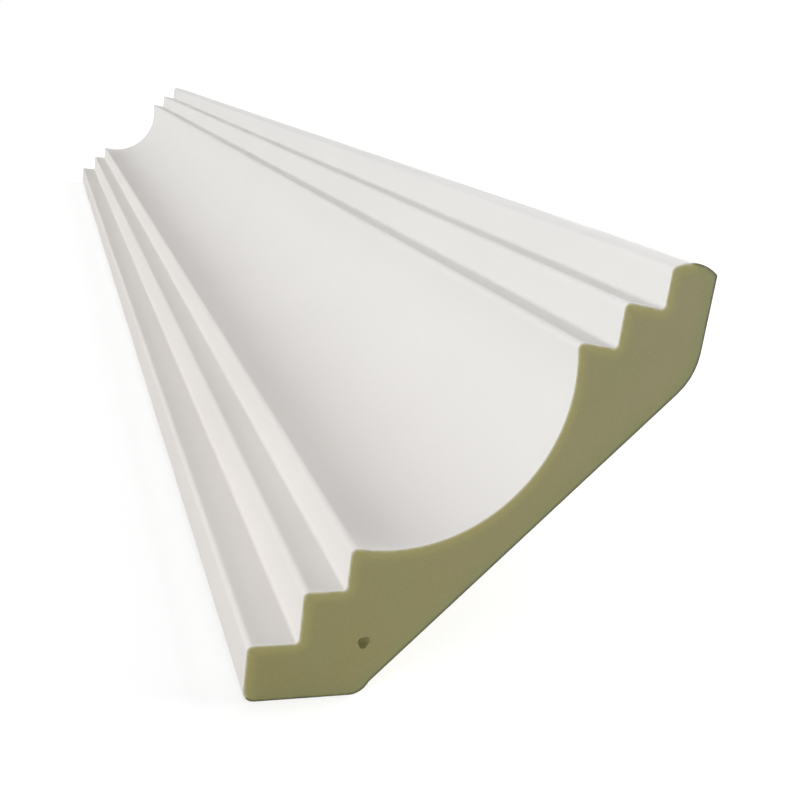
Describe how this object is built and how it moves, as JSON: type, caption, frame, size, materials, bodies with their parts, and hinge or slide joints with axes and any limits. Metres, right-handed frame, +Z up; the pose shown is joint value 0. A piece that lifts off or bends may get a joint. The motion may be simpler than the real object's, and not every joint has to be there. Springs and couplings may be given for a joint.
{
  "type": "cove moulding",
  "caption": "Straight length of foam moulding with a deep cove between stepped fillets and a sloping back, primed white, for the angle of a wall with a window head, sill or ceiling.",
  "frame": {"origin": "middle of the wall leg's flat face, halfway along the moulding", "axes": "+X along the moulding towards the end with the air void, +Y into the wall, +Z up from the ledge leg towards the top edge"},
  "size_m": [0.92, 0.0963, 0.1015],
  "materials": {
    "primed_foam": "rigid polyurethane foam, sprayed white primer on the moulded face, bare olive foam on the sawn ends and the back"
  },
  "bodies": {
    "root": {"cove_moulding": "primed_foam"}
  },
  "joints": []
}
